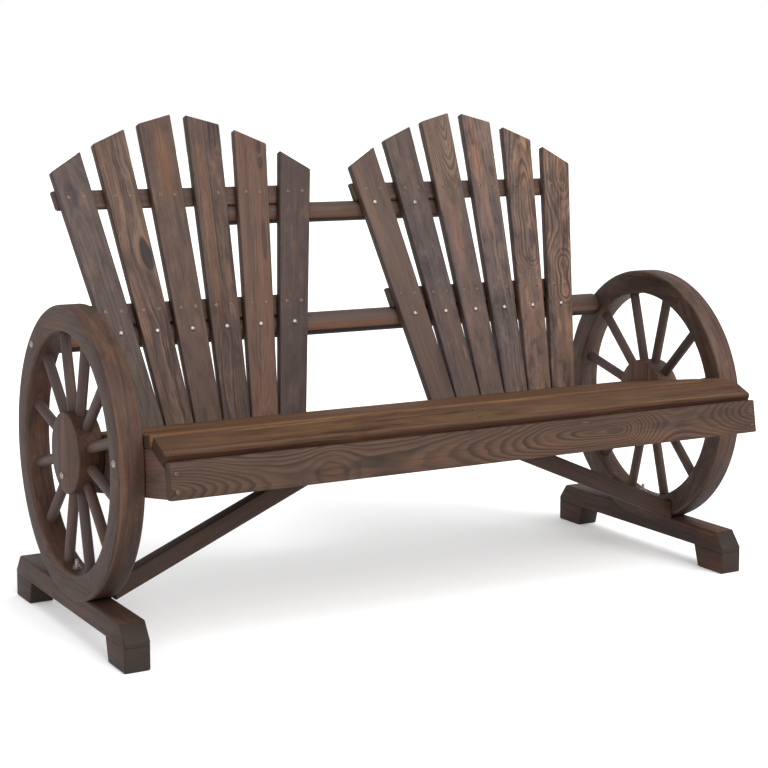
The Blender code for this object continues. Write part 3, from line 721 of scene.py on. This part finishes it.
def wrap(bm, faces, sign, offset):
    """Gives round faces a grain that follows the rim."""
    grain, trim = layers(bm)
    for face in faces:
        face.normal_update()
        if abs(face.normal.x) > 0.8:
            continue
        middle = face.calc_center_median()
        base = math.atan2(middle.z - AXLE_HEIGHT, middle.y - SHIFT_Y)
        start = (base + math.pi / 3) % (2 * math.pi)
        for loop in face.loops:
            x, y, z = loop.vert.co
            y -= SHIFT_Y
            z -= AXLE_HEIGHT
            turn = math.atan2(z, y) - base
            turn = (turn + math.pi) % (2 * math.pi) - math.pi
            along = (start + turn) * WHEEL_RADIUS + offset
            loop[grain] = (along, x - sign * WHEEL_X, math.hypot(y, z))


def darken_rim(bm, sign):
    """Darkens the outer faces of a rim a little, and paints shade on its tread, darker towards the
    ground.
    """
    grain, trim = layers(bm)
    for face in bm.faces:
        middle = face.calc_center_median()
        radial = Vector((0, middle.y - SHIFT_Y, middle.z - AXLE_HEIGHT)).normalized()
        for loop in face.loops:
            edge, end, side = loop[trim]
            darkening = 0.22 if face.normal.x * sign > 0.7 else 0.0
            # Painted shade: the tread darkens towards the ground.
            if face.normal.dot(radial) > 0.5:
                low = min(max((AXLE_HEIGHT + 0.02 - loop.vert.co.z) / 0.22, 0.0), 1.0)
                darkening = 0.55 * low * low * (3 - 2 * low)
            loop[trim] = (edge, end, darkening)


def rim(side, sign):
    """Six felloes, each with straight grain, butted end to end."""
    whole = bmesh.new()
    span = 2 * math.pi / FELLOES
    gap = 0.00005 / WHEEL_RADIUS
    for i in range(FELLOES):
        bm = bmesh.new()
        caps = spin(bm, sign, rim_profile, i * span + gap, (i + 1) * span - gap, 24)
        ends = [e for cap in caps for e in cap.edges]
        bmesh.ops.recalc_face_normals(bm, faces=bm.faces)
        soften(bm, ends, 0.0003, 1)
        middle = (i + 0.5) * span
        tangent = Vector((0, -math.sin(middle), math.cos(middle)))
        radial = Vector((0, math.cos(middle), math.sin(middle)))
        centre = on_wheel(sign, (RIM_INNER + WHEEL_RADIUS) / 2, middle, 0.0)
        paint(bm, bm.faces, axes(centre, tangent, radial), (i + 1) * 2.3 + sign * 17.0)
        wrap(bm, bm.faces, sign, sign * 5.0)
        darken_rim(bm, sign)
        mesh = bpy.data.meshes.new("felloe")
        bm.to_mesh(mesh)
        bm.free()
        whole.from_mesh(mesh)
        bpy.data.meshes.remove(mesh)
    name = side + "_wheel_rim"
    return finish_piece(whole, name + "_fir", wood(side + "_wheel", **WHEEL), [name])


def hub(side, sign):
    """A disc glued up from upright staves."""
    whole = bmesh.new()
    seams = (-1.0, -0.024, 0.030, 1.0)
    for i in range(3):
        bm = bmesh.new()
        turn = Matrix.Rotation(math.pi / 2, 4, "Y")
        centre = on_wheel(sign, 0.0, 0.0, 0.0)
        bmesh.ops.create_cone(bm, cap_ends=True, segments=120, radius1=HUB_RADIUS,
                              radius2=HUB_RADIUS, depth=2 * WHEEL_HALF,
                              matrix=Matrix.Translation(centre) @ turn)
        soften(bm, sharp_edges(bm, 60.0), 0.0035, 3)
        for low in (True, False):
            at = seams[i] + SEAM if low else seams[i + 1] - SEAM
            cut = bmesh.ops.bisect_plane(bm, geom=bm.verts[:] + bm.edges[:] + bm.faces[:],
                                         plane_co=centre + REAR * at, plane_no=REAR,
                                         clear_inner=low, clear_outer=not low)
            edges = [e for e in cut["geom_cut"] if isinstance(e, bmesh.types.BMEdge)]
            if edges:
                filled = bmesh.ops.holes_fill(bm, edges=edges, sides=0)
                border = list({e for f in filled["faces"] for e in f.edges})
                soften(bm, border, 0.0007, 1)
        paint(bm, bm.faces, axes(centre, UP, REAR), i * 1.7 + sign * 9.0)
        mesh = bpy.data.meshes.new("stave")
        bm.to_mesh(mesh)
        bm.free()
        whole.from_mesh(mesh)
        bpy.data.meshes.remove(mesh)
    name = side + "_wheel_hub"
    return finish_piece(whole, name + "_fir", wood(name, **HUB), [name])


def dowel(bm, start, end, radius, segments, chamfer, offset):
    """A round rod from start to end with eased ends."""
    own = bmesh.new()
    along = end - start
    turn = along.to_track_quat("Z", "Y").to_matrix().to_4x4()
    place = Matrix.Translation((start + end) / 2) @ turn
    bmesh.ops.create_cone(own, cap_ends=True, segments=segments, radius1=radius,
                          radius2=radius, depth=along.length, matrix=place)
    soften(own, sharp_edges(own, 60.0), chamfer, 2)
    side = place.to_3x3() @ Vector((1, 0, 0))
    paint(own, own.faces, axes((start + end) / 2, along, side), offset)
    mesh = bpy.data.meshes.new("dowel")
    own.to_mesh(mesh)
    own.free()
    bm.from_mesh(mesh)
    bpy.data.meshes.remove(mesh)


def spokes(side, sign):
    whole = bmesh.new()
    for i in range(SPOKES):
        angle = (i + 0.5) * 2 * math.pi / SPOKES
        start = on_wheel(sign, HUB_RADIUS - 0.010, angle, 0.0)
        end = on_wheel(sign, RIM_INNER + 0.010, angle, 0.0)
        dowel(whole, start, end, SPOKE_RADIUS, 28, 0.001, (i + 1) * 1.9 + sign * 31.0)
    nodes = ["%s_wheel_spoke_%02d" % (side, i + 1) for i in range(SPOKES)]
    return finish_piece(whole, side + "_wheel_spokes_fir", spoke_wood, nodes)


for side, sign in (("left", -1), ("right", 1)):
    rim(side, sign)
    hub(side, sign)
    spokes(side, sign)

# The rail's bands round the rod are painted light: grey painted shade on top, a painted highlight across
# the middle and near-black painted shade along the underside.
rail_wood = wood("rail", base=(96, 77, 67), warm=(114, 86, 70), seed=150.0,
                 tone_along=1.0, tone_across=30.0, pale_share=0.4, lines=0.3,
                 bands=((0.003, 0.011, (80, 72, 70), 0.65), (0.004, -0.007, (140, 106, 88), 0.45),
                        (-0.0095, -0.0140, (34, 26, 24), 0.95)))
for name in ("upper_round_rail", "lower_round_rail"):
    low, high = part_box(name)
    middle = (low + high) / 2
    whole = bmesh.new()
    reach = Vector(((high.x - low.x) / 2, 0, 0))
    dowel(whole, middle - reach, middle + reach, (high.z - low.z) / 2, 56, 0.003, middle.z * 9)
    finish_piece(whole, name + "_fir", rail_wood, [name])


# Hardware

zinc = metal("zinc", (148, 138, 131), (96, 88, 82), 0.32, 0.8)
dull = metal("dull_zinc", (104, 88, 74), (72, 60, 51), 0.45, 0.9)


def lathe(profile, segments):
    """A turned shape from radius and height, closed at the axis."""
    bm = bmesh.new()
    rings = []
    for radius, height in profile:
        if radius < 1e-6:
            rings.append([bm.verts.new((0, 0, height))])
            continue
        ring = []
        for i in range(segments):
            angle = 2 * math.pi * i / segments
            ring.append(bm.verts.new((radius * math.cos(angle), radius * math.sin(angle), height)))
        rings.append(ring)
    for a, b in zip(rings, rings[1:]):
        for i in range(segments):
            j = (i + 1) % segments
            corners = [a[i % len(a)], a[j % len(a)], b[j % len(b)], b[i % len(b)]]
            bm.faces.new(list(dict.fromkeys(corners)))
    bmesh.ops.recalc_face_normals(bm, faces=bm.faces)
    return bm


def carriage_head(radius):
    """A low dome on a thin flange."""
    shape = ((0, -0.18), (1.0, -0.18), (1.0, 0.06), (0.93, 0.20), (0.75, 0.36), (0.45, 0.48),
             (0, 0.53))
    return lathe([(radius * r, radius * h) for r, h in shape], 24)


def washer():
    return lathe(((0.0035, -0.0006), (0.0090, -0.0006), (0.0093, 0.0002), (0.0090, 0.0012),
                  (0.0035, 0.0012), (0.0035, -0.0006)), 28)


def hex_nut(reach):
    """A chamfered hexagon with the bolt's rounded end standing out of it."""
    bm = bmesh.new()
    bmesh.ops.create_cone(bm, cap_ends=True, segments=6, radius1=0.0072, radius2=0.0072,
                          depth=0.0055, matrix=Matrix.Translation((0, 0, 0.0037)))
    soften(bm, sharp_edges(bm), 0.0006, 2)
    end = lathe(((0, 0.0012), (0.0034, 0.0012), (0.0034, reach - 0.0010), (0.0028, reach - 0.0002),
                 (0, reach)), 18)
    mesh = bpy.data.meshes.new("bolt_end")
    end.to_mesh(mesh)
    end.free()
    bm.from_mesh(mesh)
    bpy.data.meshes.remove(mesh)
    return bm


def screw_head():
    """A countersunk head with a cross cut into it."""
    head = lathe(((0, -0.0016), (0.0018, -0.0016), (0.0040, 0.0001), (0.0038, 0.0005),
                  (0.0022, 0.0008), (0, 0.0009)), 20)
    mesh = bpy.data.meshes.new("screw_head")
    head.to_mesh(mesh)
    head.free()
    solid = bpy.data.objects.new("screw_head", mesh)
    cross = bmesh.new()
    for turn in (0.0, math.pi / 2):
        size = Matrix.Diagonal((0.0046, 0.0010, 0.0016, 1.0))
        place = Matrix.Translation((0, 0, 0.0008)) @ Matrix.Rotation(turn, 4, "Z") @ size
        bmesh.ops.create_cube(cross, size=1.0, matrix=place)
    tool_mesh = bpy.data.meshes.new("cross")
    cross.to_mesh(tool_mesh)
    cross.free()
    tool = bpy.data.objects.new("cross", tool_mesh)
    for made in (solid, tool):
        bpy.context.scene.collection.objects.link(made)
    cut = solid.modifiers.new("cross", "BOOLEAN")
    cut.operation = "DIFFERENCE"
    cut.solver = "EXACT"
    cut.use_self = True
    cut.object = tool
    depsgraph = bpy.context.evaluated_depsgraph_get()
    bm = bmesh.new()
    bm.from_object(solid, depsgraph)
    for made in (solid, tool):
        bpy.data.objects.remove(made, do_unlink=True)
    return bm


def place_all(kind, places, name, material):
    """Copies of one shape, its height along each direction, joined as one piece."""
    mesh = bpy.data.meshes.new(name + "_pattern")
    kind.to_mesh(mesh)
    kind.free()
    whole = bmesh.new()
    for i, (point, normal) in enumerate(places):
        turn = Vector(normal).to_track_quat("Z", "Y").to_matrix().to_4x4()
        spin_own = Matrix.Rotation(i * 2.4, 4, "Z")
        copy = mesh.copy()
        copy.transform(Matrix.Translation(point) @ turn @ spin_own)
        whole.from_mesh(copy)
        bpy.data.meshes.remove(copy)
    bpy.data.meshes.remove(mesh)
    return finish_piece(whole, name, material, ())


screws = []
dome_bolts = []
nuts = []
for side, sign in (("left", -1), ("right", 1)):
    for i in range(SLATS):
        lean = slat_lean(i)
        for level in (UPPER_SCREWS, LOWER_SCREWS):
            middle = (level + FAN_APEX) * math.tan(lean)
            for spread in (-SCREW_SPREAD, SCREW_SPREAD):
                screws.append((fan_point(sign, middle + spread, level), FAN_FRONT))
        middle = (RAIL_BOLTS + FAN_APEX) * math.tan(lean)
        dome_bolts.append((fan_point(sign, middle + 0.0012, RAIL_BOLTS), FAN_FRONT))
        rail_depth = -(SLAT_THICK + 0.0003 + 2 * 0.0243)
        nuts.append((fan_point(sign, middle + 0.0012, RAIL_BOLTS, rail_depth), -FAN_FRONT))
for i, across, level in ((0, -0.0067, 0.3006), (1, -0.003, 0.2974)):
    middle = (level + FAN_APEX) * math.tan(slat_lean(i))
    dome_bolts.append((fan_point(1, middle + across, level), FAN_FRONT))
    rail_depth = -(SLAT_THICK + 0.0003 + 2 * 0.0215)
    nuts.append((fan_point(1, middle + across, 0.2939, rail_depth), -FAN_FRONT))
for x in (-0.636, 0.0, 0.638):
    for back in (0.0137, 0.0412):
        screws.append((nose_origin + RIGHT * x - nose_along * back + nose_up * 0.0243, nose_up))
    for i in range(4):
        for share in (0.25, 0.75):
            start = i * 0.0925 + share * 0.0865
            point = SEAT_ORIGIN + RIGHT * x * 0.99 + SEAT_BACK * start + SEAT_UP * 0.0243
            screws.append((point, SEAT_UP))
    for down in (0.043, 0.0745) if x else ():
        point = SEAT_ORIGIN + RIGHT * x - SEAT_BACK * 0.0765 - SEAT_UP * down
        screws.append((point, -SEAT_BACK))
wheel_bolts = []
wheel_nuts = []
for sign in (-1, 1):
    for y, z in ((0.1796, 0.5314), (-0.2537, 0.3709), (0.0194, 0.3001)):
        point = Vector((sign * (WHEEL_X + WHEEL_HALF), y + SHIFT_Y, z))
        wheel_bolts.append((point, RIGHT * sign))
    point = Vector((sign * WHEEL_X, 0.018 + SHIFT_Y, AXLE_HEIGHT - RIM_INNER + 0.0007))
    wheel_nuts.append((point, UP))
place_all(screw_head(), screws, "screws", dull)
place_all(carriage_head(0.0056), dome_bolts, "bolt_heads", zinc)
place_all(carriage_head(0.0072), wheel_bolts, "wheel_bolt_heads", zinc)
place_all(washer(), nuts + wheel_nuts, "washers", zinc)
place_all(hex_nut(0.0098), nuts, "nuts", zinc)
place_all(hex_nut(0.0180), wheel_nuts, "wheel_nuts", zinc)

# Stage
floor_mesh = bpy.data.meshes.new("floor")
bm = bmesh.new()
bmesh.ops.create_grid(bm, x_segments=1, y_segments=1, size=30.0)
bm.to_mesh(floor_mesh)
bm.free()
floor = bpy.data.objects.new("floor", floor_mesh)
floor.location.z = -0.0005
bpy.context.scene.collection.objects.link(floor)
floor_look = bpy.data.materials.new("pale_floor")
g = Graph(floor_look)
speckle = g.noise(g.node("ShaderNodeTexCoord", {}, out=3), 3.0)
g.put(g.shader.inputs["Base Color"], g.blend(speckle, (0.88, 0.88, 0.88, 1), (0.92, 0.92, 0.92, 1)))
g.shader.inputs["Roughness"].default_value = 0.9
g.shader.inputs["Specular IOR Level"].default_value = 0.1
g.shader.inputs["Emission Color"].default_value = (1.0, 1.0, 1.0, 1.0)
g.shader.inputs["Emission Strength"].default_value = 0.18
floor_mesh.materials.append(floor_look)

world = bpy.data.worlds.new("studio")
world.use_nodes = True
tree = world.node_tree
backdrop = tree.nodes["Background"]
spot = tree.nodes.new("ShaderNodeTexCoord")


def toward(direction, low, high, start, end):
    """Light that goes from start to end as the sky turns towards a direction."""
    facing = tree.nodes.new("ShaderNodeVectorMath")
    facing.operation = "DOT_PRODUCT"
    facing.inputs[1].default_value = direction
    tree.links.new(spot.outputs["Generated"], facing.inputs[0])
    ramp = tree.nodes.new("ShaderNodeMapRange")
    for key, value in ((1, low), (2, high), (3, start), (4, end)):
        ramp.inputs[key].default_value = value
    tree.links.new(facing.outputs["Value"], ramp.inputs[0])
    return ramp.outputs[0]


total = tree.nodes.new("ShaderNodeMath")
tree.links.new(toward((0.05, -0.99, 0.10), 0.2, 1.0, 1.0, 1.65), total.inputs[0])
tree.links.new(toward((0.0, 0.0, 1.0), 0.15, 1.0, 0.0, -0.2), total.inputs[1])
tree.links.new(total.outputs[0], backdrop.inputs[1])
backdrop.inputs[0].default_value = (1.0, 1.0, 1.0, 1.0)
bpy.context.scene.world = world


def sun(name, source, strength, spread):
    light = bpy.data.lights.new(name, "SUN")
    light.energy = strength
    light.angle = math.radians(spread)
    lamp = bpy.data.objects.new(name, light)
    lamp.rotation_euler = (-Vector(source)).to_track_quat("-Z", "Y").to_euler()
    bpy.context.scene.collection.objects.link(lamp)


sun("key", (0.5, -2.5, 2.2), 2.4, 40)
sun("fill", (-3.0, -2.2, 1.6), 0.3, 40)

# Camera, fitted to the photograph's lines
YAW, PITCH, ROLL = (math.radians(a) for a in (29.585, 6.063, -0.082))
view = Vector((math.sin(YAW) * math.cos(PITCH), math.cos(YAW) * math.cos(PITCH), -math.sin(PITCH)))
level = Vector((math.cos(YAW), -math.sin(YAW), 0))
above = level.cross(view)
camera_x = level * math.cos(ROLL) + above * math.sin(ROLL)
camera_y = above * math.cos(ROLL) - level * math.sin(ROLL)
lens = bpy.data.cameras.new("camera")
lens.sensor_width = 36.0
lens.lens = 83.91
lens.shift_y = -0.12
camera = bpy.data.objects.new("camera", lens)
place = Matrix((camera_x, camera_y, -view)).transposed().to_4x4()
camera.matrix_world = Matrix.Translation((-1.8115, -3.17 + SHIFT_Y, 1.0007)) @ place
bpy.context.scene.collection.objects.link(camera)
bpy.context.scene.camera = camera
bpy.context.scene.view_settings.view_transform = "Standard"
